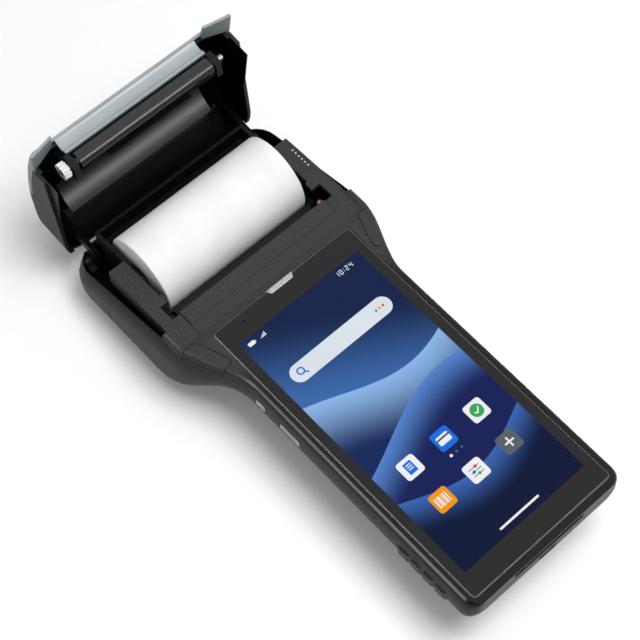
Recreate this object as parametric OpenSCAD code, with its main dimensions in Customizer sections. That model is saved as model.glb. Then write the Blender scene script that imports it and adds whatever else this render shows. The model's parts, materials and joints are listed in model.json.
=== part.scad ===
// Handheld payment terminal with a receipt printer in its head.
// X is across, +Y runs from the handle to the printer, +Z is up out of the screen.
// The origin is on the flat underside of the printer belly. The lid is drawn open, as it stands.

/* [Body] */
// Width of the handle
handle_w = 86; // [82:0.5:92]
// How far the printer head reaches past the paper on each side, at its rim
head_margin = 14.85; // [12:0.05:18]
// Distance from the origin to the handle's end
handle_reach = 192; // [184:1:200]
// Distance from the origin to the back of the head
head_reach = 49.5; // [49:0.5:52]
// Height of the screen glass above the table
glass_top = 47; // [47:0.5:49]
// Height of the handle's underside above the table
handle_floor = 29.3; // [26:0.1:30]
// How far the handle swells past its rim on each side
handle_swell = 0.35; // [0.1:0.05:0.8]
// Height of the joint between the two halves of the case
split_z = 41.5; // [41:0.1:42]
// Thickness of the case walls
wall = 2; // [1.6:0.1:2.4]
// How far the belly swells past the rim on each side
belly_swell = 3; // [1:0.1:4]
// Gap between parts that are separate but still
gap = 0.3; // [0.15:0.05:0.4]

/* [Screen] */
// Width of the cover glass
glass_w = 78.2; // [76:0.2:79]
// Length of the cover glass
glass_len = 158; // [150:1:160]
// Thickness of the cover glass
glass_t = 1.1; // [0.7:0.1:1.5]
// Width of the picture
picture_w = 68; // [64:0.5:70]
// Length of the picture
picture_len = 136; // [128:1:140]

/* [Paper] */
// Diameter of a full paper roll
roll_d = 40; // [36:0.5:40]
// Width of the paper
paper_w = 79.5; // [76:0.5:80]
// Diameter of the roll's core hole
core_d = 12; // [10:0.5:18]

/* [Printer] */
// Diameter of the rubber platen
platen_d = 7.8; // [7:0.1:8]
// Diameter of the platen shaft
shaft_d = 3; // [2.5:0.1:3.4]
// Tooth size of the gears
gear_module = 0.5; // [0.5:0.05:0.55]
// Teeth on the platen gear
platen_teeth = 14; // [12:1:15]
// Teeth on the idler gear
idler_teeth = 24; // [20:1:26]
// Teeth on the motor pinion
pinion_teeth = 12; // [10:1:13]

/* [Lid] */
// Angle that the lid stands open
lid_open = 82.4; // [60:0.2:84]
// Wall of the lid
lid_wall = 1.8; // [1.4:0.1:2.2]
// Thickness of the silver cap
trim_t = 1.4; // [1:0.1:1.6]
// Diameter of the hinge pins
hinge_d = 3; // [2:0.1:3.4]

/* [Keys] */
// Travel of the side keys
key_travel = 0.6; // [0.3:0.1:0.8]
// Travel of the corner keys
scan_travel = 0.5; // [0.3:0.1:0.6]

/* [Hidden] */
$fn = 48;
run_fit = 0.05;
eps = 0.01;
head_w = paper_w + 2 * head_margin;
// Place across, measured from the edge of the paper
function side(d) = paper_w / 2 + d;

// Plan and depth of the body along Y
waist_y = -62;
waist_len = 38;
belly_y = -55;
belly_len = 40;
rim_break_y = -13;
rim_slope = 0.237;
front_r = 6;
rear_r = 13;
front_under_r = 5;
rear_under_r = 14;
deck_z = glass_top - 2;
deck_back_y = 24;
deck_slope = 0.031;
block_back_y = -15.7;
recess_y = -26.7;
recess_x = side(2.15);

// Paper roll, platen, head and hinge lines, as seen with the lid shut
roll_y = 17.5;
roll_z = 34.2;
roll_r = roll_d / 2;
bay_r = roll_r + 1;
bay_half = paper_w / 2 + 1.5;
bay_wall = 1.5;
bay_z = roll_z + bay_r - roll_r - gap;
deck_open_x = bay_half + bay_wall + run_fit;
bay_back_y = 43.2;
bay_back_z = 41;
post_z = 8;
platen_y = -8.9;
platen_z = 41.2;
platen_half = side(-2.95);
hinge_y = 45.5;
hinge_z = 22;
tear_y = -12;
tear_z = 45.2;
throat_front_y = -12.9;
notch_x = side(6.45);
tear_half = side(1.85);
pogo_x = deck_open_x + 6.5;
pogo_y = 6.6;
pogo_pitch = 2.1;
notch_back_y = -4.5;

// Glass place
glass_back_y = -30.5;
glass_mid_y = glass_back_y - glass_len / 2;

function lerp(a, b, t) = a + (b - a) * t;
function smooth(t) = let (u = min(1, max(0, t))) u * u * (3 - 2 * u);
function arc(cx, cz, r, a0, a1, n) =
    [for (i = [0 : n]) let (a = lerp(a0, a1, i / n)) [cx + r * cos(a), cz + r * sin(a)]];
function round_in(r, d) = d <= 0 ? 0 : r - sqrt(max(0, r * r - d * d));

// Body section functions
function rim_z(y) = split_z - rim_slope * max(0, y - rim_break_y);
function deck_top(y) = deck_z - deck_slope * max(0, y - recess_y);
function head_t(y) = smooth((y - waist_y) / waist_len);
function belly_t(y) = smooth((y - belly_y) / belly_len);
function end_in(y, off) =
    round_in(rear_r - off, y - (head_reach - rear_r)) + round_in(front_r - off, -y - (handle_reach - front_r));
function end_up(y, off) = round_in(rear_under_r - off, y - (head_reach - rear_under_r))
    + round_in(front_under_r - off, -y - (handle_reach - front_under_r));
function half_w(y) = lerp(handle_w / 2, head_w / 2, head_t(y));
function floor_z(y) = lerp(handle_floor, 0, belly_t(y));
function body_ring(y, off, top) =
    let (w = half_w(y) - off - end_in(y, off),
        swell = lerp(handle_swell, belly_swell, smooth((y + 50) / 40)),
        shoulder = rim_z(y) - lerp(3, 6.5, head_t(y)),
        zf = floor_z(y) + off + end_up(y, off),
        r = max(1, min(lerp(6, 15, head_t(y)) - off, shoulder - zf - 0.3)))
    [for (q = concat([[-w, top], [-w - swell, shoulder]],
        arc(-w - swell + r, zf + r, r, 180, 270, 6),
        arc(w + swell - r, zf + r, r, 270, 360, 6),
        [[w + swell, shoulder], [w, top]])) [q[0], y, q[1]]];
function body_stations(off) = concat(
    [for (a = [86 : -17.2 : 0]) -(handle_reach - front_r) - (front_r - off) * sin(a)],
    [-150, -110, -75],
    [for (y = [-66 : 4 : -10]) y],
    [0, 14, 26],
    [for (a = [0 : 14.4 : 86.4]) head_reach - rear_under_r + (rear_under_r - off) * sin(a)]);

// Solid through a list of rings, each a closed loop of points
module loft(rings) {
    n = len(rings[0]);
    m = len(rings);
    points = [for (r = rings) for (q = r) q];
    sides = [for (j = [0 : m - 2]) for (i = [0 : n - 1]) for (k = [0, 1])
        k == 0 ? [j * n + i, j * n + (i + 1) % n, (j + 1) * n + i]
            : [j * n + (i + 1) % n, (j + 1) * n + (i + 1) % n, (j + 1) * n + i]];
    first = [for (i = [n - 1 : -1 : 0]) i];
    last = [for (i = [0 : n - 1]) (m - 1) * n + i];
    polyhedron(points, concat(sides, [first, last]));
}

// Prism along X from a Y-Z outline
module xprism(x0, x1, outline) {
    translate([x0, 0, 0]) rotate([90, 0, 90]) linear_extrude(x1 - x0) polygon(outline);
}
module xrod(x0, x1, y, z, d) {
    translate([x0, y, z]) rotate([0, 90, 0]) cylinder(d = d, h = x1 - x0);
}
module block(x0, x1, y0, y1, z0, z1) {
    translate([x0, y0, z0]) cube([x1 - x0, y1 - y0, z1 - z0]);
}
module both_sides() {
    children();
    mirror([1, 0, 0]) children();
}
module rounded_plate(w, l, r, h) {
    linear_extrude(h) offset(r) square([w - 2 * r, l - 2 * r], center = true);
}

// Lower half of the case
module body_outer(off = 0) {
    loft([for (y = body_stations(off)) body_ring(y, off, rim_z(y) - (off > 0 ? -12 : 0))]);
}
hinge_ear_in = deck_open_x + 0.1;
hinge_ear_t = 2;
hinge_arm_t = 2.4;
hinge_arm_in = hinge_ear_in + hinge_ear_t;
hinge_arm_out = hinge_arm_in + hinge_arm_t;
hinge_ear_out = hinge_arm_out + 3.7;
hinge_knuckle_r = 2.8;
cell_d = 18.3;
cell_len = 65;
cell_pitch = cell_d + gap;
cover_x = 42;
cover_r = 6;
cover_chamfer = 1;
cover_y0 = -34.3;
cover_y1 = 14;
cover_z = 14.4;
cover_screw = [31, cover_y1 - wall - gap - 2.5];
key_z = 38;
power_y = -66.2;
power_len = 5.6;
volume_y = -84.5;
volume_len = 12;
key_h = 3.4;
grip_y0 = -handle_reach + 14;
grip_y1 = grip_y0 + 28;
speaker_y = -handle_reach + 40;
grip_z0 = 31.6;
grip_z1 = 39.4;
bay_screw_x = [-30, 30];
post_x = handle_w / 2 - 7;
post_y = [-handle_reach + 20, -handle_reach + 88];
screw_places = [[-post_x, post_y[0]], [post_x, post_y[0]], [-post_x, post_y[1]], [post_x, post_y[1]],
    [-side(7.25), 6], [side(7.25), 6]];

module cover_plan(grow, h) {
    translate([0, (cover_y0 + cover_y1) / 2, 0])
        rounded_plate(2 * (cover_x + grow), cover_y1 - cover_y0 + 2 * grow, cover_r + grow, h);
}
module hinge_ears() {
    both_sides() {
        block(hinge_ear_in, hinge_arm_in - gap, hinge_y - 3, hinge_y + 1.2, 10, hinge_z);
        xrod(hinge_ear_in, hinge_arm_in - gap, hinge_y, hinge_z, 6);
        block(hinge_arm_out + gap, hinge_ear_out, hinge_y - 6, hinge_y, 6, hinge_z);
        xrod(hinge_arm_out + gap, hinge_ear_out, hinge_y, hinge_z, 6);
    }
}
module screw_posts() {
    for (q = screw_places) {
        post_floor = floor_z(q[1]);
        translate([q[0], q[1], post_floor + 0.4]) cylinder(d = 6, h = rim_z(q[1]) - post_floor - 4);
    }
}
module lower_case() color("dimgray") difference() {
    union() {
        difference() {
            body_outer();
            body_outer(wall);
        }
        intersection() {
            union() {
                hinge_ears();
                screw_posts();
            }
            body_outer();
        }
    }
    // Pins of the hinge and the slots for the lid's arms
    both_sides() {
        xrod(hinge_ear_in - 1, hinge_ear_out + eps, hinge_y, hinge_z, hinge_d);
        block(hinge_arm_in - gap, hinge_arm_out + gap, hinge_y - 1, head_reach + 1, hinge_z - 4, hinge_z + 12);
    }
    // Battery opening
    translate([0, 0, -1]) cover_plan(gap, floor_z(cover_y0 - gap) + wall + 2);
    // Screws from below
    for (q = screw_places) {
        translate([q[0], q[1], -1]) cylinder(d = 2, h = 60);
        translate([q[0], q[1], floor_z(q[1]) - 2]) cylinder(d = 4.4, h = 3.6);
    }
    for (x = bay_screw_x) {
        translate([x, roll_y, -1]) cylinder(d = 2, h = 60);
        translate([x, roll_y, -1]) cylinder(d = 4.4, h = 2.6);
    }
    // Side keys
    block(-50, -handle_w / 2 + wall + 1, power_y - power_len / 2 - gap, power_y + power_len / 2 + gap,
        key_z - key_h / 2 - gap, key_z + key_h / 2 + gap);
    block(-50, -handle_w / 2 + wall + 1, volume_y - volume_len / 2 - gap, volume_y + volume_len / 2 + gap,
        key_z - key_h / 2 - gap, key_z + key_h / 2 + gap);
    // Seats of the grips
    both_sides() block(handle_w / 2 - 0.8, handle_w, grip_y0 - 0.1, grip_y1 + 0.1, grip_z0 - 0.1, grip_z1 + 0.1);
    // Charging port
    block(-4.6, 4.6, -handle_reach - 1, -handle_reach + wall + 1, 34, 37.6);
    // Loudspeaker slots
    for (x = [-12 : 4 : 12])
        block(x - 0.8, x + 0.8, speaker_y - 6, speaker_y + 6, handle_floor - 1, handle_floor + wall + 1);
}

// Upper half of the case
function top_z(y) = lerp(glass_top, deck_z, smooth((y - glass_back_y + 1) / 5));
function upper_ring(y, off) =
    let (w = half_w(y) - off - end_in(y, min(off, front_r - 1)),
        zt = top_z(y) - off,
        zr = rim_z(y) + (off > 0 ? -9 : gap / 2))
    [for (q = [[-w, zr], [w, zr], [w - 0.3, split_z + 3], [w - 0.9, zt - 0.9], [w - 2.0, zt],
        [-w + 2.0, zt], [-w + 0.9, zt - 0.9], [-w + 0.3, split_z + 3]]) [q[0], y, q[1]]];
function upper_stations(off) = concat(
    [for (a = [86 : -17.2 : 0]) -(handle_reach - front_r) - (front_r - off) * sin(a)],
    [-150, -110, -75],
    [for (y = [-66 : 4 : -18]) y],
    [block_back_y + wall]);
scan_front_y = glass_back_y - 16;
scan_back_y = glass_back_y + 2.3;
scan_pts = [[handle_w / 2 - 1.6, scan_front_y], [handle_w / 2 - 1.6, scan_front_y + 2.5],
    [head_w / 2 - 7.6, scan_back_y], [head_w / 2 + 3.4, scan_back_y], [head_w / 2 + 3.4, scan_front_y]];
module scan_outline(grow) {
    offset(r = grow) offset(r = 2) offset(delta = -2) polygon(scan_pts);
}
module deck_block(off) {
    front = head_w / 2 - 2.5 - off;
    back = head_w / 2 - 3.2 - off;
    intersection() {
        translate([0, 0, 26]) linear_extrude(30)
            polygon([[-front, -30], [front, -30], [back, deck_back_y - off], [-back, deck_back_y - off]]);
        xprism(-60, 60, [[-40, 20], [deck_back_y, 20], [deck_back_y, deck_top(deck_back_y) - off],
            [recess_y, deck_top(recess_y) - off], [-40, deck_z - off]]);
    }
}
module upper_case() color([0.2, 0.2, 0.21]) difference() {
    union() {
        difference() {
            loft([for (y = upper_stations(0)) upper_ring(y, 0)]);
            difference() {
                loft([for (y = upper_stations(wall)) upper_ring(y, wall)]);
                block(-60, 60, block_back_y - wall, 60, 0, 60);
            }
            block(-60, 60, block_back_y, 60, 0, 60);
        }
        difference() {
            deck_block(0);
            deck_block(wall);
            block(-60, 60, -60, -24, 0, deck_z - wall);
            block(-60, 60, -60, 60, 0, 34);
        }
    }
    // Seat of the glass and window for the picture
    translate([0, glass_mid_y, glass_top - glass_t - 0.1])
        rounded_plate(glass_w + 2 * gap, glass_len + 2 * gap, 2.6, 10);
    translate([0, glass_mid_y, 30]) rounded_plate(glass_w - 3, glass_len - 3, 2, 20);
    // Lid recess at the shoulders
    both_sides() block(recess_x, head_w / 2 - 3, recess_y, block_back_y + 2, deck_z - 0.7, 60);
    // Paper bay, print throat and the notches of the platen
    block(-deck_open_x, deck_open_x, 0, 60, 20, 60);
    block(-tear_half, tear_half, -5, 1, 20, 60);
    block(-notch_x, notch_x, throat_front_y, notch_back_y, 20, 60);
    // Tear bar seat
    block(-tear_half - gap, tear_half + gap, tear_y - 8.2, throat_front_y + 1, deck_z - 3.5, 60);
    // Corner keys
    both_sides() translate([0, 0, split_z + 1.2]) linear_extrude(10) scan_outline(gap);
    // Spring contacts
    for (i = [0 : 5]) translate([pogo_x, pogo_y + pogo_pitch * i, 30]) cylinder(d = 1.5, h = 20);
    block(pogo_x - 1.9 - gap, pogo_x + 0.9 + gap, pogo_y - 2 - gap, pogo_y + 12.4 + gap, 30, deck_top(19) - wall);
    // Camera and sounder
    both_sides() translate([side(-2.55), -11, 30]) cylinder(d = 2.6, h = 20);
    // Recess in the handle's end
    block(-19.5, 19.5, -handle_reach - 1, -handle_reach + 0.8, split_z - 1, glass_top - 1.4);
}

// Battery in the belly and its cover, whose screws go up into posts of the paper bay
module battery_cover() color("dimgray") difference() {
    hull() {
        cover_plan(-cover_chamfer, eps);
        translate([0, 0, cover_chamfer]) cover_plan(0, cover_z - cover_chamfer);
    }
    difference() {
        translate([0, 0, wall]) cover_plan(-wall, cover_z);
        both_sides() translate(cover_screw) cylinder(d = 5, h = post_z - gap);
    }
    both_sides() translate([cover_screw[0], cover_screw[1], -1]) cylinder(d = 2, h = post_z + 2);
    both_sides() translate([cover_screw[0], cover_screw[1], -1]) cylinder(d = 4.4, h = 2.4);
    xrod(-60, 60, roll_y, bay_z, 2 * (bay_r + bay_wall + gap));
}
cell_x = 4;
cell_z = wall + gap + cell_d / 2;
cell_y = cover_y0 + wall + gap + cell_d / 2;
module battery_cells() color("royalblue") {
    for (i = [0, 1])
        xrod(cell_x - cell_len / 2, cell_x + cell_len / 2, cell_y + i * cell_pitch, cell_z, cell_d);
}
module battery_board() color("darkgreen") {
    translate([cell_x + cell_len / 2 + gap, cell_y, cell_z]) block(0, 1, -5, cell_pitch + 5, -6, 6);
}
module cover_screws() color("silver") {
    both_sides() translate([cover_screw[0], cover_screw[1], 0.3]) {
        cylinder(d = 4, h = 1.1);
        cylinder(d = 2, h = 11);
    }
}

// Screen stack
panel_t = 2;
panel_w = picture_w + 4;
panel_len = picture_len + 4;
picture_y = glass_mid_y - 0.5;
camera_x = -25.4;
camera_y = glass_back_y - 5;
ear_x = -1.3;
ear_y = glass_back_y - 1.2;
glass_z0 = glass_top - glass_t;
module touch_glass() color([0.09, 0.09, 0.1]) difference() {
    translate([0, glass_mid_y, glass_z0]) rounded_plate(glass_w, glass_len, 2.3, glass_t);
    translate([ear_x, ear_y, glass_z0 - 1]) linear_extrude(5)
        polygon([[-8.1, 3], [8.1, 3], [6.4, -1.4], [-6.4, -1.4]]);
    translate([camera_x, camera_y, glass_z0 - 1]) cylinder(d = 2, h = 5);
}
module display_panel() color("midnightblue") {
    block(-panel_w / 2, panel_w / 2, picture_y - panel_len / 2, picture_y + panel_len / 2,
        glass_z0 - panel_t, glass_z0);
}
module display_frame() color("gray") difference() {
    block(-panel_w / 2 - 1, panel_w / 2 + 1, picture_y - picture_len / 2 - 6, picture_y + picture_len / 2 + 4,
        glass_z0 - panel_t - 1, glass_z0 - panel_t);
    block(-picture_w / 2 + 4, picture_w / 2 - 4, picture_y - 40, picture_y + 40, 0, 60);
}
module earpiece_grille() color("gainsboro") {
    translate([ear_x, ear_y, glass_z0]) linear_extrude(glass_t + 0.1)
        polygon([[-7.3, 1.1], [7.3, 1.1], [6.1, -1.2], [-6.1, -1.2]]);
}
module front_camera() color("black") {
    translate([camera_x, camera_y, glass_z0 - 2.4]) cylinder(d = 1.8, h = 3.2);
    block(camera_x - 2.6, camera_x + 2.6, camera_y - 2.1, camera_y + 2.5, glass_z0 - 4, glass_z0 - 2.4 + eps);
}
board_z = glass_z0 - panel_t - 1 - 1.6;
board_half = handle_w / 2 - 6;
board_back_y = -64;
shield_half = 24;
shield_len = 56;
shield_t = 0.25;
module main_board() color("darkgreen") difference() {
    block(-board_half, board_half, -handle_reach + 10, board_back_y, board_z - 1, board_z);
    for (q = screw_places) translate([q[0], q[1], 0]) cylinder(d = 6.6, h = 60);
}
module board_shield() color("silver") translate([0, picture_y - 2, board_z]) difference() {
    top = 1.6 - gap / 2;
    block(-shield_half, shield_half, -shield_len / 2, shield_len / 2, 0, top);
    block(-shield_half + shield_t, shield_half - shield_t, -shield_len / 2 + shield_t, shield_len / 2 - shield_t,
        -1, top - shield_t);
}
module loudspeaker() color("black")
    block(-14, 14, speaker_y - 7, speaker_y + 7, handle_floor + wall, board_z - 1);
module charge_port() color("silver") difference() {
    block(-4.4, 4.4, -handle_reach + 0.6, -handle_reach + 9, 34.2, 37.4);
    block(-3.6, 3.6, -handle_reach, -handle_reach + 6, 34.9, 36.7);
}
module side_grips() color([0.12, 0.12, 0.12]) both_sides() {
    pitch = (grip_y1 - grip_y0) / 4;
    block(handle_w / 2 - 0.8, handle_w / 2 + 0.2, grip_y0, grip_y1, grip_z0, grip_z1);
    for (i = [0 : 3]) translate([handle_w / 2, grip_y0 + pitch * (i + 0.5), (grip_z0 + grip_z1) / 2])
        hull() {
            cube([0.4, pitch - 0.8, grip_z1 - grip_z0], center = true);
            translate([0.8, 0, 0]) cube([0.4, pitch - 2.6, grip_z1 - grip_z0 - 2.4], center = true);
        }
}
module case_screws() color("silver") {
    for (q = screw_places) {
        translate([q[0], q[1], floor_z(q[1]) + 0.3]) cylinder(d = 4, h = 1.3);
        translate([q[0], q[1], floor_z(q[1]) + 1]) cylinder(d = 2, h = 8);
    }
}

// Paper bay: a trough with closed ends
bay_front_y = roll_y - bay_r;
function bay_outline(grow, top) = concat(
    [[bay_back_y + grow, top], [bay_front_y - grow, top]],
    arc(roll_y, bay_z, bay_r + grow, 180, 336, 30),
    [[bay_back_y + grow, bay_z - 2]]);
module paper_bay() color([0.15, 0.15, 0.16]) difference() {
    union() {
        xprism(-bay_half - bay_wall, bay_half + bay_wall, bay_outline(bay_wall, bay_back_z));
        both_sides() translate([cover_screw[0], cover_screw[1], post_z]) cylinder(d = 5, h = 8);
        // Apron between the cheeks of the print head
        block(cheek + gap - mount_x, mount_x - cheek - gap, apron_y, bay_front_y, roll_z - 1 - bay_wall, roll_z - 1);
    }
    both_sides() translate([cover_screw[0], cover_screw[1], 0]) cylinder(d = 2, h = 13);
    xprism(-bay_half, bay_half, bay_outline(0, bay_back_z + 10));
    block(-60, 60, bay_front_y - 5, 2, roll_z - 1, 60);
}
module bay_screws() color("silver") {
    for (x = bay_screw_x) {
        translate([x, roll_y, 0.3]) cylinder(d = 4, h = 1.3);
        translate([x, roll_y, 1]) cylinder(d = 2, h = bay_z - bay_r - bay_wall - 1);
    }
}

// Tear bar with a serrated edge
tooth = 1;
module tear_bar() color([0.14, 0.14, 0.15]) {
    half = tear_half;
    count = floor(2 * half / tooth);
    teeth = [for (i = [0 : count - 1]) for (k = [0, 1])
        [-half + (i + k / 2) * tooth, k == 0 ? tear_y - 0.7 : tear_y]];
    intersection() {
        translate([0, 0, 38]) linear_extrude(10)
            polygon(concat(teeth, [[half, tear_y - 0.7], [half, tear_y - 8], [-half, tear_y - 8]]));
        xprism(-half, half, [[tear_y - 8, deck_z - 3.2], [tear_y - 1.6, deck_z - 3.2], [tear_y + 0.2, tear_z - 1],
            [tear_y + 0.2, tear_z], [tear_y - 3, deck_z - 0.2], [tear_y - 8, deck_z - 0.2]]);
    }
}

// Print mechanism on the body side
head_tilt = 25;
head_gap = 0.35;
head_bar_half = platen_half + 1.2;
mount_x = side(1.25);
cheek = 0.8;
spring_x = 24;
head_pin_y = platen_y - (platen_d / 2 + head_gap + 1) * cos(head_tilt) + 6.4 * sin(head_tilt);
head_pin_z = platen_z - (platen_d / 2 + head_gap + 1) * sin(head_tilt) - 6.4 * cos(head_tilt);
apron_y = head_pin_y + 1 + gap;
module head_frame() {
    translate([0, platen_y, platen_z]) rotate([head_tilt, 0, 0]) children();
}
module print_head() color("black") head_frame()
    block(-head_bar_half, head_bar_half, -platen_d / 2 - head_gap - 0.9, -platen_d / 2 - head_gap, -4.4, 1.6);
module head_heatsink() color("silver") difference() {
    head_frame() block(-side(-0.25), side(-0.25), -platen_d / 2 - head_gap - 2.2, -platen_d / 2 - head_gap - 0.9,
        -7.6, 1.2);
    xrod(-60, 60, head_pin_y, head_pin_z, 2.1);
}
module head_pin() color("silver") xrod(-mount_x, mount_x, head_pin_y, head_pin_z, 2);
module head_springs() color("silver") {
    for (x = [-spring_x, 0, spring_x]) translate([x, 0, 0]) head_frame()
        translate([0, -platen_d / 2 - head_gap - 2.2, -2]) rotate([90, 0, 0]) cylinder(d = 3, h = 2.5, $fn = 24);
}
module head_bracket() color("gray") difference() {
    union() {
        head_frame() block(-mount_x, mount_x, -platen_d / 2 - head_gap - 5.6, -platen_d / 2 - head_gap - 4.8,
            -6, 0.6);
        both_sides() block(mount_x - cheek, mount_x, -17.6, -9, 30, 35.2);
    }
    xrod(-60, 60, head_pin_y, head_pin_z, 2);
}
module printer_board() color("darkgreen")
    block(-side(-3.75), side(-3.75), -28.4, -27.4, 24, deck_z - wall - gap);
module flex_cable() color([0.72, 0.42, 0.25]) {
    block(side(2.25), side(4.25), -22, -21.7, 30, 36.3);
    block(side(2.25), side(4.25), -22, -7, 36, 36.3);
}
module pogo_block() color([0.1, 0.1, 0.1]) difference() {
    block(pogo_x - 1.9, pogo_x + 0.9, pogo_y - 2, pogo_y + 12.4, 37, deck_top(19) - wall - eps);
    for (i = [0 : 5]) translate([pogo_x, pogo_y + pogo_pitch * i, 30]) cylinder(d = 1.12, h = 20, $fn = 24);
}
module pogo_pins() color("gold") {
    for (i = [0 : 5]) translate([pogo_x, pogo_y + pogo_pitch * i, 37.4]) cylinder(d = 1, h = 6.6, $fn = 24);
}

// Gear outline with plain trapezoid teeth
module gear(teeth, thick, bore) {
    pitch_r = gear_module * teeth / 2;
    outer = pitch_r + gear_module * 0.8;
    root = pitch_r - gear_module * 1.1;
    step = 360 / teeth;
    outline = [for (i = [0 : teeth - 1]) for (k = [[-0.3, root], [-0.13, outer], [0.13, outer], [0.3, root]])
        [k[1] * cos((i + k[0]) * step), k[1] * sin((i + k[0]) * step)]];
    rotate([0, 90, 0]) difference() {
        linear_extrude(thick) polygon(outline);
        translate([0, 0, -1]) cylinder(d = bore, h = thick + 2);
    }
}
gear_x = -side(5.95);
motor_len = 11;
gear_w = 3.4;
mesh_extra = 0.25;
platen_pr = gear_module * platen_teeth / 2;
idler_pr = gear_module * idler_teeth / 2;
pinion_pr = gear_module * pinion_teeth / 2;
idler_dir = 252;
idler_y = platen_y + (platen_pr + idler_pr + mesh_extra) * cos(idler_dir);
idler_z = platen_z + (platen_pr + idler_pr + mesh_extra) * sin(idler_dir);
motor_dir = idler_dir + 180 + 10 * 360 / idler_teeth;
motor_y = idler_y + (idler_pr + pinion_pr + mesh_extra) * cos(motor_dir);
motor_z = idler_z + (idler_pr + pinion_pr + mesh_extra) * sin(motor_dir);
module idler_gear() color("white") translate([gear_x, idler_y, idler_z]) rotate([motor_dir + 90, 0, 0])
    gear(idler_teeth, gear_w, 1.6 + 2 * run_fit);
module idler_pin() color("silver") xrod(gear_x - 1, -mount_x, idler_y, idler_z, 1.6);
module motor_pinion() color("gold") {
    translate([gear_x, motor_y, motor_z]) rotate([motor_dir + 270 + 180 / pinion_teeth, 0, 0])
        gear(pinion_teeth, gear_w, 1.4);
    xrod(gear_x, -side(-1.25), motor_y, motor_z, 1.5);
}
module stepper_motor() color("silver") difference() {
    xrod(-side(0.25), -side(0.25) + motor_len, motor_y, motor_z, 13);
    xrod(-side(20), -side(0.25) + 2, motor_y, motor_z, 1.5 + 2 * run_fit);
}

// Hinge pins
module hinge_pins() color("silver") both_sides()
    xrod(hinge_ear_in, hinge_ear_out, hinge_y, hinge_z, hinge_d);

// Keys
module side_key(y, len) {
    block(-handle_w / 2 - 0.5, -handle_w / 2 + wall + 0.6, y - len / 2, y + len / 2,
        key_z - key_h / 2, key_z + key_h / 2);
}
module power_key() color("silver") side_key(power_y, power_len);
module volume_key() color("silver") side_key(volume_y, volume_len);
module scan_key() color([0.22, 0.22, 0.23]) intersection() {
    difference() {
        loft([for (y = upper_stations(0)) upper_ring(y, 0)]);
        block(0, 60, -60, 0, 0, split_z + 1.2 + gap + scan_travel);
    }
    linear_extrude(60) scan_outline(0);
}
module scan_key_right() scan_key();
module scan_key_left() mirror([1, 0, 0]) scan_key();

// Paper
module paper_roll() color("white") difference() {
    translate([-paper_w / 2, roll_y, roll_z]) rotate([0, 90, 0]) rotate_extrude($fn = 96)
        polygon(concat([[core_d / 2 + 1, 0], [roll_r - 1.5, 0]], arc(roll_r - 1.5, 1.5, 1.5, -90, 0, 5),
            arc(roll_r - 1.5, paper_w - 1.5, 1.5, 0, 90, 5), [[core_d / 2 + 1, paper_w]]));
}
module roll_core() color("tan") difference() {
    xrod(-paper_w / 2, paper_w / 2, roll_y, roll_z, core_d + 2);
    xrod(-60, 60, roll_y, roll_z, core_d);
}

// Lid, drawn shut and then swung open about the hinge
lid_front_y = -10;
lid_crown_y = 12;
lid_crown_z = 57.6;
lid_back_y = 49.9;
lid_corner_r = 6;
trim_back_y = 16;
trim_skirt = 6.6;
lid_hem_z = 30.9;
seam = 0.3;
module opened() {
    translate([0, hinge_y, hinge_z]) rotate([-lid_open, 0, 0]) translate([0, -hinge_y, -hinge_z]) children();
}
function lid_top(y, off) =
    let (back = lid_back_y - off + 0.1, u = (y - lid_crown_y) / (back - lid_crown_y), low = 31 + off / 2)
    y < lid_crown_y ? lid_crown_z - off - 0.0045 * pow(y - lid_crown_y, 2)
        : low + (lid_crown_z - off - low) * pow(max(0, 1 - pow(u, 2.5)), 0.4);
function lid_w(y, off) = head_w / 2 - off - round_in(rear_r - off, y - (head_reach - rear_r));
function lid_ring(y, off, low) =
    let (w = lid_w(y, off), zt = lid_top(y, off), r = max(0.8, min(lid_corner_r - off, zt - low - 0.4)))
    [for (q = concat([[-w, low], [w, low]], arc(w - r, zt - r, r, 0, 90, 6), arc(-w + r, zt - r, r, 90, 180, 6)))
        [q[0], y, q[1]]];
function lid_stations(front, off) = concat(
    [for (y = [front : 5.5 : 24]) y],
    [for (a = [24 : 9 : 87]) let (back = lid_back_y - off) back - 26 + 26 * sin(a)]);
function seam_z(y) = rim_z(y) + seam;
module lid_solid(off) {
    loft([for (y = lid_stations(lid_front_y - off, off)) lid_ring(y, off, seam_z(y) - (off > 0 ? 12 : 0))]);
}
module trim_solid(off, grow) {
    loft([for (y = [-12 : 3.5 : trim_back_y]) lid_ring(y, off, lid_top(y, 0) - trim_skirt - grow)]);
}
arm_y0 = hinge_y - 11;
arm_y1 = hinge_y - 5.7;
module lid_arms() {
    both_sides() {
        block(hinge_arm_in, hinge_arm_out, arm_y0, arm_y1, hinge_z - 2, 50);
        block(hinge_arm_in, hinge_arm_out, arm_y0, hinge_y, hinge_z - 2.4, hinge_z + 2.4);
        xrod(hinge_arm_in, hinge_arm_out, hinge_y, hinge_z, 2 * hinge_knuckle_r);
    }
}
module lid_cavity() {
    lid_solid(trim_t + lid_wall);
    intersection() {
        lid_solid(lid_wall);
        union() {
            block(-60, 60, trim_back_y + lid_wall, 60, 0, 70);
            block(-60, 60, -30, 60, 0, deck_z + 0.6);
        }
    }
    // The back edge stops short of the rim so that it can swing past
    block(-60, 60, lid_back_y - 7, 60, 0, lid_hem_z);
}
module lid_shell() color([0.2, 0.2, 0.21]) opened() difference() {
    union() {
        difference() {
            union() {
                difference() {
                    lid_solid(0);
                    trim_solid(-2, 0);
                }
                intersection() {
                    lid_solid(trim_t + 0.1);
                    block(-60, 60, lid_front_y, trim_back_y + 1, seam_z(20), 70);
                }
            }
            lid_cavity();
        }
        lid_arms();
    }
    both_sides() xrod(40, 60, hinge_y, hinge_z, hinge_d + 2 * run_fit);
    block(-side(-0.55), side(-0.55), -20, -2.6, 45.2, 70);
}
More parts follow.
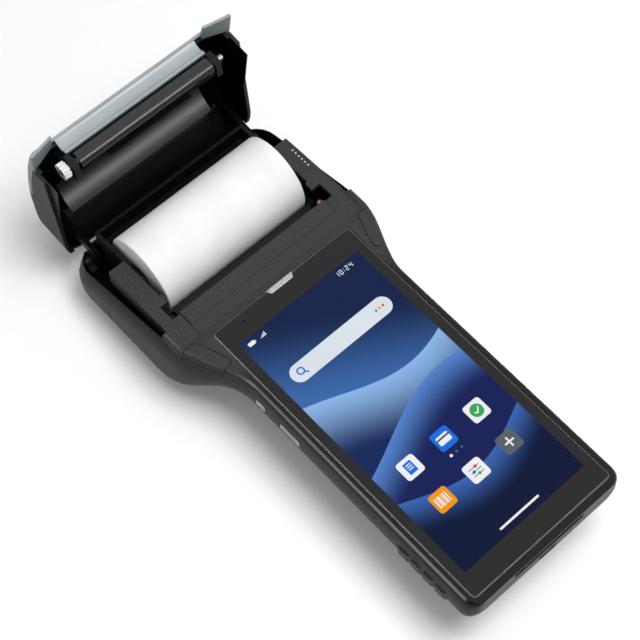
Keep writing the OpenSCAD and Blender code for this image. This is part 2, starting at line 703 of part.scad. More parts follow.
trim_front = [[-3, 55.6], [-11.5, 54.9], [-11.5, 53.6], [-10.4, 52], [-9.8, 50], [-9.7, 48.3], [-11.1, 47.6],
    [-11.1, 46], [-9.6, 45.8], [-8.2, 47.4], [-8.2, 50.2], [-9, 53.2], [-3, 54.2]];
module ear() {
    hull() {
        translate([recess_x - 0.1, -21.6, 51]) cube([0.4, 0.4, 1.2]);
        translate([head_w / 2 - 0.4, -23.3, 47.8]) cube([0.4, 0.4, 1.2]);
        translate([head_w / 2 - 0.8, -9.5, 47.8]) cube([0.6, 1.5, 2]);
        translate([recess_x - 0.1, -9.5, 52]) cube([0.4, 1.5, 1.6]);
    }
}
module lid_trim() color([0.68, 0.71, 0.72]) opened() {
    difference() {
        union() {
            intersection() {
                trim_solid(0, 0);
                block(-60, 60, -12, trim_back_y, 30, 70);
            }
            both_sides() ear();
        }
        trim_solid(trim_t, 6);
    }
    xprism(-side(-0.95), side(-0.95), trim_front);
}

// Inner frame of the lid that carries the platen
lid_screw_x = 30;
module lid_frame() color([0.08, 0.08, 0.09]) opened() difference() {
    union() {
        xprism(-head_bar_half, head_bar_half,
            [[-4.2, 38.4], [-3.6, 46], [1, 53.6], [4, 53.6], [-2.2, 45], [-2.8, 38.4]]);
        both_sides() xprism(head_bar_half, mount_x,
            [[-11.6, 38], [-4, 36], [-2, 40], [3, 53.4], [-4, 52.8], [-7.6, 45.4], [-11.6, 45.4]]);
    }
    both_sides() xrod(30, 60, platen_y, platen_z, shaft_d + 3);
    both_sides() translate([lid_screw_x, 2.2, 40]) cylinder(d = 2, h = 20);
}
guide_r = bay_r + 0.3;
sensor_half = 22.6;
module lid_guide() color([0.16, 0.16, 0.17]) opened() {
    xprism(-mount_x, mount_x, concat(arc(roll_y, roll_z, guide_r, 21, 61, 18),
        arc(roll_y, roll_z, guide_r + 1.3, 61, 21, 18)));
}
module sensor_bar() color([0.2, 0.2, 0.2]) opened()
    xprism(-sensor_half, sensor_half, [[-5.2, 35.6], [-3.9, 35.2], [-3.4, 38.4 - eps], [-4.2, 38.4 - eps]]);
module platen_bushings() color("gray") opened() difference() {
    both_sides() xrod(platen_half + 0.8, mount_x + 0.3, platen_y, platen_z, shaft_d + 3);
    xrod(-60, 60, platen_y, platen_z, shaft_d + 2 * run_fit);
}
module platen_shaft() color("silver") opened() xrod(gear_x, side(4.25), platen_y, platen_z, shaft_d);
module platen_rubber() color([0.12, 0.12, 0.12]) opened() difference() {
    xrod(-platen_half, platen_half, platen_y, platen_z, platen_d);
    xrod(-60, 60, platen_y, platen_z, shaft_d);
}
module platen_gear() color("white") opened() translate([gear_x, platen_y, platen_z])
    rotate([idler_dir + 90 + 180 / platen_teeth, 0, 0]) gear(platen_teeth, gear_w, shaft_d);
module lid_screws() color("silver") opened() {
    both_sides() translate([lid_screw_x, 2.2, 50]) cylinder(d = 2, h = 3.4, $fn = 24);
}

lower_case();
upper_case();
battery_cover();
battery_cells();
battery_board();
touch_glass();
display_panel();
display_frame();
earpiece_grille();
front_camera();
main_board();
board_shield();
loudspeaker();
charge_port();
side_grips();
case_screws();
cover_screws();
paper_bay();
bay_screws();
tear_bar();
head_bracket();
printer_board();
flex_cable();
pogo_block();
pogo_pins();
stepper_motor();
motor_pinion();
idler_gear();
idler_pin();
print_head();
head_heatsink();
head_pin();
head_springs();
hinge_pins();
power_key();
volume_key();
scan_key_left();
scan_key_right();
paper_roll();
roll_core();
lid_shell();
lid_trim();
lid_frame();
lid_guide();
sensor_bar();
platen_bushings();
platen_shaft();
platen_rubber();
platen_gear();
lid_screws();
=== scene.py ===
import json
import math

import bpy
from mathutils import Matrix, Vector
from mathutils.geometry import tessellate_polygon


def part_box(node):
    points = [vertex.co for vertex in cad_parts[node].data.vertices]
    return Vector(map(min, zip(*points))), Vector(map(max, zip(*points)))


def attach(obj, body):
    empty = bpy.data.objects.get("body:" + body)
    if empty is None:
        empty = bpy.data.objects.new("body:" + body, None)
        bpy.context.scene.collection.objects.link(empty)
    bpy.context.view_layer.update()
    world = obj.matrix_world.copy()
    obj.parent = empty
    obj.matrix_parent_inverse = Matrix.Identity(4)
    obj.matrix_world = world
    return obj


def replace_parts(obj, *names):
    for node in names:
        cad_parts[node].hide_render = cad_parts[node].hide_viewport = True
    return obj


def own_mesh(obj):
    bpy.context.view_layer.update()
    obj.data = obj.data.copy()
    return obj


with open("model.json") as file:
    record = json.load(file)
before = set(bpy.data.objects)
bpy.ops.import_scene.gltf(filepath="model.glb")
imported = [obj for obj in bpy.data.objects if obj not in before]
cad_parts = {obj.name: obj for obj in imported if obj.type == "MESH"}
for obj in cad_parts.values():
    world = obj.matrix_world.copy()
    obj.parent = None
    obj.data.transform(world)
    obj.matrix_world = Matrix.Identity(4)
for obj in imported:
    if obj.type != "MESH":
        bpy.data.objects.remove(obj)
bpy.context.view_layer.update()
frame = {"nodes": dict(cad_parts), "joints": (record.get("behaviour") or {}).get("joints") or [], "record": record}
nodes = frame["nodes"]
joints = {j["name"]: j for j in frame["joints"]}
slots = {s["node"]: s["material_slot"] for s in frame["record"]["subparts"]}
MM = 0.001


# Places read from the frame

def span(node_name):
    """Lowest and highest corner of a CAD node, in millimetres."""
    low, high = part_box(node_name)
    return low / MM, high / MM


glass_low, glass_high = span("touch_glass")
glass_top = glass_high.z
roll_low, roll_high = span("paper_roll")
hinge = Vector(joints["lid_hinge"]["pos_m"]) / MM
lid_swing = math.radians(joints["lid_hinge"]["range_deg"][1])
platen_axis = Vector(joints["platen_spin"]["pos_m"]) / MM
roll_axis = Vector(joints["paper_spin"]["pos_m"]) / MM

# Takes a point of the shut lid to its place on the open lid
opened = Matrix.Translation(hinge) @ Matrix.Rotation(-lid_swing, 4, "X") @ Matrix.Translation(-hinge)

# The lit area of the screen
PICTURE_HALF = 34
PICTURE_LOW, PICTURE_HIGH = -178, -42


# Node materials

def new_material(name):
    made = bpy.data.materials.new(name)
    made.use_nodes = True
    tree = made.node_tree
    tree.nodes.clear()
    out = tree.nodes.new("ShaderNodeOutputMaterial")
    bsdf = tree.nodes.new("ShaderNodeBsdfPrincipled")
    tree.links.new(bsdf.outputs["BSDF"], out.inputs["Surface"])
    return made, tree, bsdf


def feed(tree, socket, value):
    """Links a socket to another node's output, or sets it to a number or a colour."""
    if hasattr(value, "is_output"):
        tree.links.new(value, socket)
    elif isinstance(value, tuple):
        socket.default_value = (*value, 1)
    else:
        socket.default_value = value


def object_coords(tree):
    return tree.nodes.new("ShaderNodeTexCoord").outputs["Object"]


def axis_of(tree, coords, axis):
    parts = tree.nodes.new("ShaderNodeSeparateXYZ")
    tree.links.new(coords, parts.inputs[0])
    return parts.outputs[axis]


def noise(tree, coords, feature_mm, detail=2.0):
    made = tree.nodes.new("ShaderNodeTexNoise")
    made.inputs["Scale"].default_value = 1 / (feature_mm * MM)
    made.inputs["Detail"].default_value = detail
    tree.links.new(coords, made.inputs["Vector"])
    return made.outputs["Fac"]


def ramp(tree, fac, stops):
    """A colour ramp; stops are (place, grey or colour)."""
    made = tree.nodes.new("ShaderNodeValToRGB")
    points = made.color_ramp.elements
    for point, (place, colour) in zip(points, stops):
        point.position = place
        if not isinstance(colour, tuple):
            colour = (colour, colour, colour)
        point.color = (*colour, 1)
    tree.links.new(fac, made.inputs["Fac"])
    return made.outputs["Color"]


def math_node(tree, operation, *values):
    made = tree.nodes.new("ShaderNodeMath")
    made.operation = operation
    for socket, value in zip(made.inputs, values):
        feed(tree, socket, value)
    return made.outputs[0]


def step_node(tree, value, low, high):
    """Rises smoothly from 0 at low to 1 at high."""
    made = tree.nodes.new("ShaderNodeMapRange")
    made.interpolation_type = "SMOOTHSTEP"
    made.inputs["From Min"].default_value = low
    made.inputs["From Max"].default_value = high
    tree.links.new(value, made.inputs["Value"])
    return made.outputs["Result"]


def spread_node(tree, value, low, high):
    """Maps 0 and 1 to low and high."""
    made = tree.nodes.new("ShaderNodeMapRange")
    made.inputs["To Min"].default_value = low
    made.inputs["To Max"].default_value = high
    tree.links.new(value, made.inputs["Value"])
    return made.outputs["Result"]


def mix_colour(tree, fac, a, b, blend="MIX"):
    made = tree.nodes.new("ShaderNodeMix")
    made.data_type = "RGBA"
    made.blend_type = blend
    feed(tree, made.inputs["Factor"], fac)
    feed(tree, made.inputs["A"], a)
    feed(tree, made.inputs["B"], b)
    return made.outputs["Result"]


def grey(v):
    """Linear value of an sRGB grey from 0 to 255."""
    u = v / 255
    return u / 12.92 if u <= 0.04045 else ((u + 0.055) / 1.055) ** 2.4


def rgb(r, g, b):
    return (grey(r), grey(g), grey(b))


# Feature sizes, in millimetres, of the slow change in shade and of the change in roughness
SHADE_SIZE = 23
SHADE_STOPS = [(0.3, 0.9), (0.7, 1.0)]
ROUGHNESS_SIZE = 6


def finish_of(name, dark, light, rough, grain=0.4, bump=0.03, speckle=(0.42, 0.62), metal=0.0, edge=0.25,
              level=0.5, stretch=None, plain=None):
    """A moulded, painted or metal surface: speckled colour, uneven roughness, a fine bump and softened edges.
    grain, bump and edge are millimetres, and level is the specular level. The noise turns from dark to light
    over speckle. plain is (y from, y to, grey, roughness): towards its first place the surface turns plain
    and glossy."""
    made, tree, bsdf = new_material(name)
    coords = object_coords(tree)
    if stretch:
        mapping = tree.nodes.new("ShaderNodeMapping")
        mapping.inputs["Scale"].default_value = stretch
        tree.links.new(coords, mapping.inputs["Vector"])
        coords = mapping.outputs["Vector"]
    fine = noise(tree, coords, grain)
    shade = ramp(tree, noise(tree, coords, SHADE_SIZE, 3), SHADE_STOPS)
    colour = ramp(tree, fine, [(speckle[0], dark), (speckle[1], light)])
    uneven = spread_node(tree, noise(tree, coords, ROUGHNESS_SIZE, 4), *rough)
    height = fine
    if plain:
        plain_y, grained_y, plain_grey, plain_rough = plain
        grained = step_node(tree, axis_of(tree, coords, "Y"), plain_y * MM, grained_y * MM)
        colour = mix_colour(tree, grained, (plain_grey,) * 3, colour)
        uneven = math_node(tree, "MULTIPLY", uneven, step_node(tree, grained, 0, 1))
        smoother = math_node(tree, "MULTIPLY", math_node(tree, "SUBTRACT", 1, grained), plain_rough)
        uneven = math_node(tree, "ADD", uneven, smoother)
        height = math_node(tree, "MULTIPLY", fine, grained)
    tree.links.new(mix_colour(tree, 1, colour, shade, "MULTIPLY"), bsdf.inputs["Base Color"])
    tree.links.new(uneven, bsdf.inputs["Roughness"])
    bsdf.inputs["Metallic"].default_value = metal
    bsdf.inputs["Specular IOR Level"].default_value = level
    raised = tree.nodes.new("ShaderNodeBump")
    raised.inputs["Distance"].default_value = bump * MM
    raised.inputs["Strength"].default_value = 1.0
    tree.links.new(height, raised.inputs["Height"])
    if edge:
        soft = tree.nodes.new("ShaderNodeBevel")
        soft.samples = 4
        soft.inputs["Radius"].default_value = edge * MM
        tree.links.new(soft.outputs["Normal"], raised.inputs["Normal"])
    tree.links.new(raised.outputs["Normal"], bsdf.inputs["Normal"])
    return made


# Each finish: the dark and the light colour, the lowest and the highest roughness, and what differs from the
# defaults of finish_of
finishes = {
    "case_black": (grey(20), grey(28), (0.22, 0.3), dict(grain=0.24, bump=0.005, edge=0.4, level=0.25)),
    "deck_black": (grey(28), grey(70), (0.4, 0.52),
                   dict(grain=0.3, speckle=(0.38, 0.7), edge=0.35, level=0.26,
                        plain=(-66, -44, grey(12), 0.2))),
    "grip_black": (grey(20), grey(28), (0.24, 0.32), dict(grain=0.5, bump=0.008, edge=0.4, level=0.36)),
    "bay_black": (grey(10), grey(18), (0.36, 0.46), dict(grain=0.6, bump=0.01, edge=0.3, level=0.25)),
    "lid_grey": (grey(24), grey(36), (0.32, 0.42), dict(grain=0.26, bump=0.012, edge=0.4, level=0.3)),
    # Painted shade: the lid's hollow is coloured and reflects darker than its outside, for the shade inside it
    "lid_hollow_painted_shade": (grey(3), grey(6), (0.3, 0.38), dict(grain=0.6, bump=0.01, edge=0.3, level=0.07)),
    "guide_black": (grey(16), grey(24), (0.3, 0.38), dict(bump=0.012, edge=0.3, level=0.42)),
    "silver_trim": (rgb(150, 158, 161), rgb(158, 166, 169), (0.3, 0.38),
                    dict(grain=0.15, bump=0.004, metal=0.35, edge=0.35)),
    "cover_glass": (grey(7), grey(8), (0.05, 0.08), dict(grain=3, bump=0.0, edge=0.5, level=0.36)),
    "display": (rgb(10, 20, 50), rgb(14, 26, 60), (0.2, 0.3), dict(edge=0)),
    "steel": (grey(150), grey(178), (0.25, 0.4),
              dict(grain=0.5, bump=0.005, metal=1, edge=0.15, stretch=(0.1, 1, 1))),
    "light_alloy": (grey(160), grey(176), (0.4, 0.5), dict(bump=0.01, metal=1, edge=0.15)),
    "chrome_key": (grey(176), grey(190), (0.3, 0.4), dict(grain=0.3, bump=0.003, metal=0.4, edge=0.35)),
    "board_green": (rgb(14, 62, 34), rgb(20, 84, 46), (0.3, 0.45), dict(grain=1.2, bump=0.01, edge=0.1)),
    "battery_blue": (rgb(40, 84, 150), rgb(46, 92, 164), (0.25, 0.35), dict(grain=4, bump=0.02)),
    "black_plastic": (grey(10), grey(20), (0.36, 0.46), dict(bump=0.01, edge=0.2, level=0.25)),
    "paper": (grey(238), grey(241), (0.7, 0.8), dict(grain=0.7, bump=0.006, edge=0, level=0.15)),
    "core_card": (rgb(176, 168, 154), rgb(190, 182, 168), (0.8, 0.9), dict(grain=0.5, bump=0.04)),
    "platen_black": (grey(22), grey(32), (0.22, 0.3), dict(grain=0.25, bump=0.008, edge=0.3)),
    # Partly painted highlight: the light grey of the glass edge draws the bright line that the strip lamps also
    # light
    "edge_painted_highlight": (grey(116), grey(122), (0.38, 0.42), dict(grain=2, bump=0.0, edge=0, metal=0.1, level=0.6)),
    "gear_dark": (grey(24), grey(34), (0.3, 0.4), dict(grain=0.5, bump=0.005, edge=0.15, level=0.3)),
    "lens": (rgb(20, 30, 62), rgb(34, 50, 96), (0.05, 0.08), dict(bump=0.0, edge=0)),
    "copper": (rgb(170, 84, 54), rgb(196, 104, 70), (0.25, 0.35),
               dict(grain=0.3, bump=0.004, metal=0.7, edge=0.1)),
    "pin_tip": (grey(232), grey(240), (0.3, 0.4), dict(grain=0.3, bump=0.002, metal=0.2, edge=0.05)),
    "gear_white": (grey(228), grey(236), (0.35, 0.45), dict(grain=0.6, bump=0.005, edge=0.12)),
    "brass": (rgb(196, 160, 98), rgb(214, 178, 112), (0.2, 0.3),
              dict(grain=0.3, bump=0.004, metal=1, edge=0.1)),
    "copper_flex": (rgb(168, 100, 62), rgb(196, 124, 82), (0.3, 0.4), dict(grain=0.8, bump=0.01)),
    "camera_black": (grey(2), grey(4), (0.5, 0.6), dict(grain=1, bump=0.0, edge=0, level=0.06)),
}
looks = {name: finish_of(name, dark, light, rough, **others)
         for name, (dark, light, rough, others) in finishes.items()}


# CAD nodes: their record slot gives the finish, and a modifier smooths their facets

SMOOTH_DEG = 27
MERGE_MM = 0.002


def smooth_group():
    """A geometry node group that joins the faces of a mesh and shades it smooth up to an angle."""
    tree = bpy.data.node_groups.new("smooth_by_angle", "GeometryNodeTree")
    tree.interface.new_socket("Geometry", in_out="INPUT", socket_type="NodeSocketGeometry")
    tree.interface.new_socket("Geometry", in_out="OUTPUT", socket_type="NodeSocketGeometry")
    start = tree.nodes.new("NodeGroupInput")
    end = tree.nodes.new("NodeGroupOutput")
    merge = tree.nodes.new("GeometryNodeMergeByDistance")
    merge.inputs["Distance"].default_value = MERGE_MM * MM
    faces = tree.nodes.new("GeometryNodeSetShadeSmooth")
    faces.domain = "FACE"
    edges = tree.nodes.new("GeometryNodeSetShadeSmooth")
    edges.domain = "EDGE"
    edges.inputs["Shade Smooth"].default_value = False
    angle = tree.nodes.new("GeometryNodeInputMeshEdgeAngle")
    sharp = tree.nodes.new("FunctionNodeCompare")
    sharp.data_type = "FLOAT"
    sharp.operation = "GREATER_THAN"
    sharp.inputs[1].default_value = math.radians(SMOOTH_DEG)
    tree.links.new(angle.outputs["Unsigned Angle"], sharp.inputs[0])
    tree.links.new(start.outputs[0], merge.inputs["Geometry"])
    tree.links.new(merge.outputs["Geometry"], faces.inputs["Geometry"])
    tree.links.new(faces.outputs["Geometry"], edges.inputs["Geometry"])
    tree.links.new(sharp.outputs["Result"], edges.inputs["Selection"])
    tree.links.new(edges.outputs["Geometry"], end.inputs[0])
    return tree


smoothing = smooth_group()


def smooth(obj):
    """Drops the stored normals of a mesh and smooths it by angle and by face size."""
    for layer in ("custom_normal", "sharp_face", "sharp_edge"):
        found = obj.data.attributes.get(layer)
        if found:
            obj.data.attributes.remove(found)
    modifier = obj.modifiers.new("smooth", "NODES")
    modifier.node_group = smoothing
    weighted = obj.modifiers.new("weighted", "WEIGHTED_NORMAL")
    weighted.keep_sharp = True


# Nodes whose look isn't that of their slot
other_looks = {"idler_gear": "gear_dark", "tear_bar": "deck_black", "lid_guide": "guide_black"}
for name, obj in nodes.items():
    obj.data.materials.clear()
    obj.data.materials.append(looks[other_looks.get(name, slots[name])])
    smooth(obj)


# The faces of the lid that look towards the roll have a darker colour: painted shade for the lid's hollow

# Middle of the shut lid's hollow. The width counts less, because the hollow is wider than it is long.
LID_MIDDLE = Vector((0, 20, 40))
WIDTH_SHARE = 0.6


def paint_lid_hollow_shade():
    mesh = nodes["lid_shell"].data
    mesh.materials.append(looks["lid_hollow_painted_shade"])
    middle = opened @ LID_MIDDLE
    for face in mesh.polygons:
        outward = face.center / MM - middle
        outward.x *= WIDTH_SHARE
        if face.normal.dot(outward) < 0:
            face.material_index = 1


paint_lid_hollow_shade()


# Mesh helpers for the pieces that are drawn here

def band_faces(rows, count, closed=False):
    """Faces between rows of count points each; a closed band joins its last row to its first."""
    faces = []
    for j in range(rows if closed else rows - 1):
        n = (j + 1) % rows
        for i in range(count):
            k = (i + 1) % count
            faces.append((j * count + i, j * count + k, n * count + k, n * count + i))
    return faces


def cap_faces(rows, count):
    """The first and the last row of a band as faces."""
    return [tuple(range(count - 1, -1, -1)), tuple((rows - 1) * count + i for i in range(count))]


def around(radius, i, count):
    """Point i of count points on a circle."""
    a = 2 * math.pi * i / count
    return radius * math.cos(a), radius * math.sin(a)


def circle(cx, cy, r, count=24):
    return [(cx + x, cy + y) for x, y in (around(r, i, count) for i in range(count))]


def rounded(cx, cy, w, h, r, steps=5):
    """Outline of a rectangle with round corners."""
    points = []
    for sx, sy, start in ((1, 1, 0), (-1, 1, 90), (-1, -1, 180), (1, -1, 270)):
        for i in range(steps + 1):
            a = math.radians(start + 90 * i / steps)
            points.append((cx + sx * (w / 2 - r) + r * math.cos(a), cy + sy * (h / 2 - r) + r * math.sin(a)))
    return points


def stroke(x0, y0, x1, y1, width):
    """Outline of a straight line with a width."""
    along = Vector((x1 - x0, y1 - y0)).normalized() * width / 2
    side = Vector((-along.y, along.x))
    return [(x0 - side.x, y0 - side.y), (x1 - side.x, y1 - side.y), (x1 + side.x, y1 + side.y),
            (x0 + side.x, y0 + side.y)]


class Shape:
    """Collects points and faces, each face with a material number."""

    def __init__(self):
        self.verts, self.faces, self.numbers = [], [], []

    def add(self, verts, faces, number=0):
        start = len(self.verts)
        self.verts += [tuple(v) for v in verts]
        self.faces += [tuple(start + i for i in f) for f in faces]
        self.numbers += [number] * len(faces)

    def lathe(self, profile, place, count=32, number=0):
        """Turns (radius, height) points about an upright axis through place."""
        verts = [Vector(place) + Vector((*around(radius, i, count), height))
                 for radius, height in profile for i in range(count)]
        self.add(verts, band_faces(len(profile), count) + cap_faces(len(profile), count), number)

    def prism(self, outline, low, high, number=0):
        """Closed prism of an x-y outline."""
        verts = [(x, y, z) for z in (low, high) for x, y in outline]
        self.add(verts, cap_faces(2, len(outline)) + band_faces(2, len(outline)), number)

    def tube(self, points, radius, count=8, number=0):
        """Round tube along a list of points."""
        verts = []
        for i, p in enumerate(points):
            ahead = Vector(points[min(i + 1, len(points) - 1)]) - Vector(points[max(i - 1, 0)])
            turn = ahead.to_track_quat("Z", "X").to_matrix()
            verts += [Vector(p) + turn @ Vector((*around(radius, j, count), 0)) for j in range(count)]
        self.add(verts, band_faces(len(points), count) + cap_faces(len(points), count), number)

    def build(self, name, body, slot_name, materials=None, smoothed=True):
        """Makes the object; without materials of its own it has its slot's finish."""
        mesh = bpy.data.meshes.new(name)
        mesh.from_pydata([Vector(v) * MM for v in self.verts], [], self.faces)
        mesh.validate()
        made = bpy.data.objects.new(name, mesh)
        bpy.context.scene.collection.objects.link(made)
        for material in materials or [looks[slot_name]]:
            mesh.materials.append(material)
        if smoothed:
            smooth(made)
        for face, number in zip(mesh.polygons, self.numbers):
            face.material_index = number
        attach(made, body)
        return made


# Paper roll: a spiral of paper with its loose tail, rounded rims and wound ends

# The step of the tail is drawn higher than one layer of paper, so that it shows
CORE_R = 7.05
LAYER = 0.16
RIM_R = 0.7
TAIL_DEG = -24
# The wound ends are drawn as fewer and thicker rounds, which stand out and lie back in turn
END_TURNS = 34
RIDGE, GROOVE, CORE_GROOVE = 0.04, 0.16, 0.25
ROLL_SIDES = 144


def paper_roll():
    outer, half = (roll_high.z - roll_low.z) / 2, (roll_high.x - roll_low.x) / 2
    first, reach = CORE_R + 0.3, outer - RIM_R - CORE_R - 0.4
    end = [(CORE_R, half - CORE_GROOVE)]
    end += [(first + reach * i / (END_TURNS - 1), half - (GROOVE if i % 2 else RIDGE))
            for i in range(END_TURNS)]
    end += [(outer - RIM_R * (1 - math.sin(math.radians(a))), half - RIM_R * (1 - math.cos(math.radians(a))))
            for a in (0, 22, 45, 68, 90)]
    profile = list(reversed(end)) + [(r, -x) for r, x in end]
    verts = []
    for r, x in profile:
        # At the outside the radius falls by one layer in a round, so that the tail ends in a step
        fall = LAYER * max(0, (r - CORE_R) / (outer - CORE_R)) ** 8
        for i in range(ROLL_SIDES):
            radius = r - fall * i / (ROLL_SIDES - 1)
            a = math.radians(TAIL_DEG) - 2 * math.pi * i / ROLL_SIDES
            verts.append((x, roll_axis.y - radius * math.cos(a), roll_axis.z + radius * math.sin(a)))
    shape = Shape()
    shape.add(verts, band_faces(len(profile), ROLL_SIDES, closed=True))
    return shape.build("paper_roll_wound", "paper", slots["paper_roll"])


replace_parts(paper_roll(), "paper_roll")


# Screws with a cross recess

HEAD_R, SHANK_R = 2, 1
THREAD_PITCH = 0.5
# The screws of the case stand further apart than this
SCREW_REACH = 12
# The smaller screws of the lid, placed on the shut lid
LID_HEAD_R, LID_SHANK_R = 1, 0.9
LID_HEAD_H, LID_SCREW_LENGTH = 0.5, 3.4
LID_SCREW_X, LID_SCREW_Y, LID_SCREW_Z = 30, 2.2, 50
OVER = Matrix.Rotation(math.pi, 4, "X")


def cross(r, w):
    """Outline of a plus sign."""
    return [(r, -w), (r, w), (w, w), (w, r), (-w, r), (-w, w), (-r, w), (-r, -w), (-w, -w), (-w, -r), (w, -r),
            (w, -w)]


def screw(shape, place, head_r, head_h, shank_r, length):
    """A pan head with a cross recess; local +Z points out of the head, whose top is at the origin."""
    count = 28
    soft = head_h * 0.35
    top = [Vector((x, y, 0)) for x, y in circle(0, 0, head_r - soft, count)]
    recess = [Vector((x, y, 0)) for x, y in cross(head_r * 0.58, head_r * 0.13)]
    corners = len(recess)
    deep = [v - Vector((0, 0, head_h * 0.55)) for v in recess]
    verts = top + recess + deep
    bottom = count + corners
    faces = [tuple(f) for f in tessellate_polygon((top, recess))]
    faces += [(count + i, count + (i + 1) % corners, bottom + (i + 1) % corners, bottom + i)
              for i in range(corners)]
    faces.append(tuple(bottom + i for i in range(corners)))
    rings = [(head_r - soft * 0.3, -soft * 0.3), (head_r, -soft), (head_r, -head_h), (shank_r, -head_h)]
    for i in range(int((length - head_h) / THREAD_PITCH)):
        rings += [(shank_r, -head_h - THREAD_PITCH * i), (shank_r * 0.82, -head_h - THREAD_PITCH * (i + 0.5))]
    rings.append((shank_r * 0.8, -length))
    last = 0
    for r, z in rings:
        start = len(verts)
        verts += [Vector((x, y, z)) for x, y in circle(0, 0, r, count)]
        faces += [(last + (i + 1) % count, last + i, start + i, start + (i + 1) % count)
                  for i in range(count)]
        last = start
    faces.append(tuple(last + count - 1 - i for i in range(count)))
    shape.add([place @ v for v in verts], faces)


def separate_solids(node_name, reach):
    """Lowest and highest corner, in millimetres, of each solid of a CAD node. A point within reach of a solid
    found so far belongs to it."""
    found = []
    for v in nodes[node_name].data.vertices:
        p = v.co / MM
        for low, high in found:
            if all(low[i] - reach < p[i] < high[i] + reach for i in range(3)):
                for i in range(3):
                    low[i] = min(low[i], p[i])
                    high[i] = max(high[i], p[i])
                break
        else:
            found.append((p.copy(), p.copy()))
    return found


def screws_from_below(node_name, head_h):
    shape = Shape()
    for low, high in separate_solids(node_name, SCREW_REACH):
        middle = (low + high) / 2
        place = Matrix.Translation((middle.x, middle.y, low.z)) @ OVER
        screw(shape, place, HEAD_R, head_h, SHANK_R, high.z - low.z)
    return shape.build(node_name + "_cross", "housing", slots[node_name])


def lid_screws():
    shape = Shape()
    for x in (-LID_SCREW_X, LID_SCREW_X):
        place = opened @ Matrix.Translation((x, LID_SCREW_Y, LID_SCREW_Z)) @ OVER
        screw(shape, place, LID_HEAD_R, LID_HEAD_H, LID_SHANK_R, LID_SCREW_LENGTH)
    return shape.build("lid_screws_cross", "lid", slots["lid_screws"])


for name, head_h in (("case_screws", 1.3), ("cover_screws", 1.1), ("bay_screws", 1.3)):
    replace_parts(screws_from_below(name, head_h), name)
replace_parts(lid_screws(), "lid_screws")


# Print head springs: wound wire that goes with the print head

# From the shut platen's axis, tilted like the head
HEAD_TILT = math.radians(25)
head_place = Matrix.Translation(opened.inverted() @ platen_axis) @ Matrix.Rotation(HEAD_TILT, 4, "X")
SPRING_X = (-24, 0, 24)
SPRING_R, WIRE_R = 1.32, 0.17
SPRING_TOP, SPRING_LENGTH, SPRING_Z = -6.62, 2.16, -2
SPRING_TURNS, STEPS_PER_TURN = 3.5, 24


def head_springs():
    shape = Shape()
    steps = int(SPRING_TURNS * STEPS_PER_TURN)
    for x in SPRING_X:
        wire = []
        for i in range(steps + 1):
            dx, dz = around(SPRING_R, i, STEPS_PER_TURN)
            wire.append(head_place @ Vector((x + dx, SPRING_TOP - SPRING_LENGTH * i / steps, SPRING_Z + dz)))
        shape.tube(wire, WIRE_R)
    return shape.build("head_springs_wound", "head", slots["head_springs"])


springs = head_springs()
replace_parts(springs, "head_springs")
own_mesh(springs)


# Contact pins: a bright dome on a copper collar

PIN_COUNT, PIN_R = 6, 0.5
# Profiles as (radius, depth below the tip)
PIN_COLLAR = [(PIN_R, 0.75), (0.46, 0.65)]
PIN_DOME = [(0.42, 0.65), (0.42, 0.3), (0.36, 0.14), (0.2, 0.03), (0.05, 0)]


def contact_pins():
    low, high = span("pogo_pins")
    x = (low.x + high.x) / 2
    first, last = low.y + PIN_R, high.y - PIN_R
    shape = Shape()
    for i in range(PIN_COUNT):
        at = (x, first + (last - first) * i / (PIN_COUNT - 1), 0)
        collar = [(PIN_R, low.z)] + [(r, high.z - depth) for r, depth in PIN_COLLAR]
        shape.lathe(collar, at, 20, 1)
        shape.lathe([(r, high.z - depth) for r, depth in PIN_DOME], at, 20)
    return shape.build("pogo_pins_domed", "pogo", slots["pogo_pins"], [looks["pin_tip"], looks["copper"]])


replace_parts(contact_pins(), "pogo_pins")


# Ear piece: a woven grille in a thin frame

# How much narrower each end of the foot is than the top
GRILLE_TAPER = 1.2
FRAME_R, FRAME_INSET = 0.14, 0.16
PLATE_INSET, PLATE_DEPTH, PLATE_LIFT = 0.1, 0.35, 0.05
MESH_PITCH, MESH_WIRE_R, MESH_SLANT = 0.42, 0.055, 0.9
MESH_DEPTH, MESH_WAVE = 0.24, 0.03
MESH_MARGIN_X, MESH_MARGIN_Y = 0.35, 0.3
MESH_STEPS = 8


def ear_grille():
    low, high = span("earpiece_grille")
    middle = (low + high) / 2
    top_half, depth = (high.x - low.x) / 2, (high.y - low.y) / 2
    foot_half = top_half - GRILLE_TAPER
    shape = Shape()

    def half_at(y):
        return foot_half + (top_half - foot_half) * (y + depth) / (2 * depth)

    def outline(inset):
        top_x, foot_x, dy = top_half - inset, foot_half - inset * 0.9, depth - inset * 0.6
        return [(middle.x - top_x, middle.y + dy), (middle.x - foot_x, middle.y - dy),
                (middle.x + foot_x, middle.y - dy), (middle.x + top_x, middle.y + dy)]

    shape.prism(outline(PLATE_INSET), low.z + PLATE_LIFT, high.z - PLATE_DEPTH, 1)
    corners = [Vector((x, y, high.z - FRAME_R)) for x, y in outline(FRAME_INSET)]
    for i in range(4):
        shape.tube([corners[i], corners[(i + 1) % 4]], FRAME_R)
    lines = int(2 * top_half / MESH_PITCH) + 6
    low_y = MESH_MARGIN_Y - depth
    for slant in (1, -1):
        for i in range(-lines, lines):
            wire = []
            for j in range(MESH_STEPS + 1):
                y = low_y - 2 * low_y * j / MESH_STEPS
                x = i * MESH_PITCH + slant * y * MESH_SLANT
                if abs(x) < half_at(y) - MESH_MARGIN_X:
                    wave = MESH_WAVE * (1 if (j + i) % 2 else -1) * slant
                    wire.append(Vector((middle.x + x, middle.y + y, high.z - MESH_DEPTH + wave)))
            if len(wire) > 2:
                shape.tube(wire, MESH_WIRE_R, 5)
    return shape.build("earpiece_woven", "housing", slots["earpiece_grille"],
                       [looks["pin_tip"], looks["light_alloy"]])


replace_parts(ear_grille(), "earpiece_grille")


# Front camera: a ring round a stepped, tinted lens on the camera's block

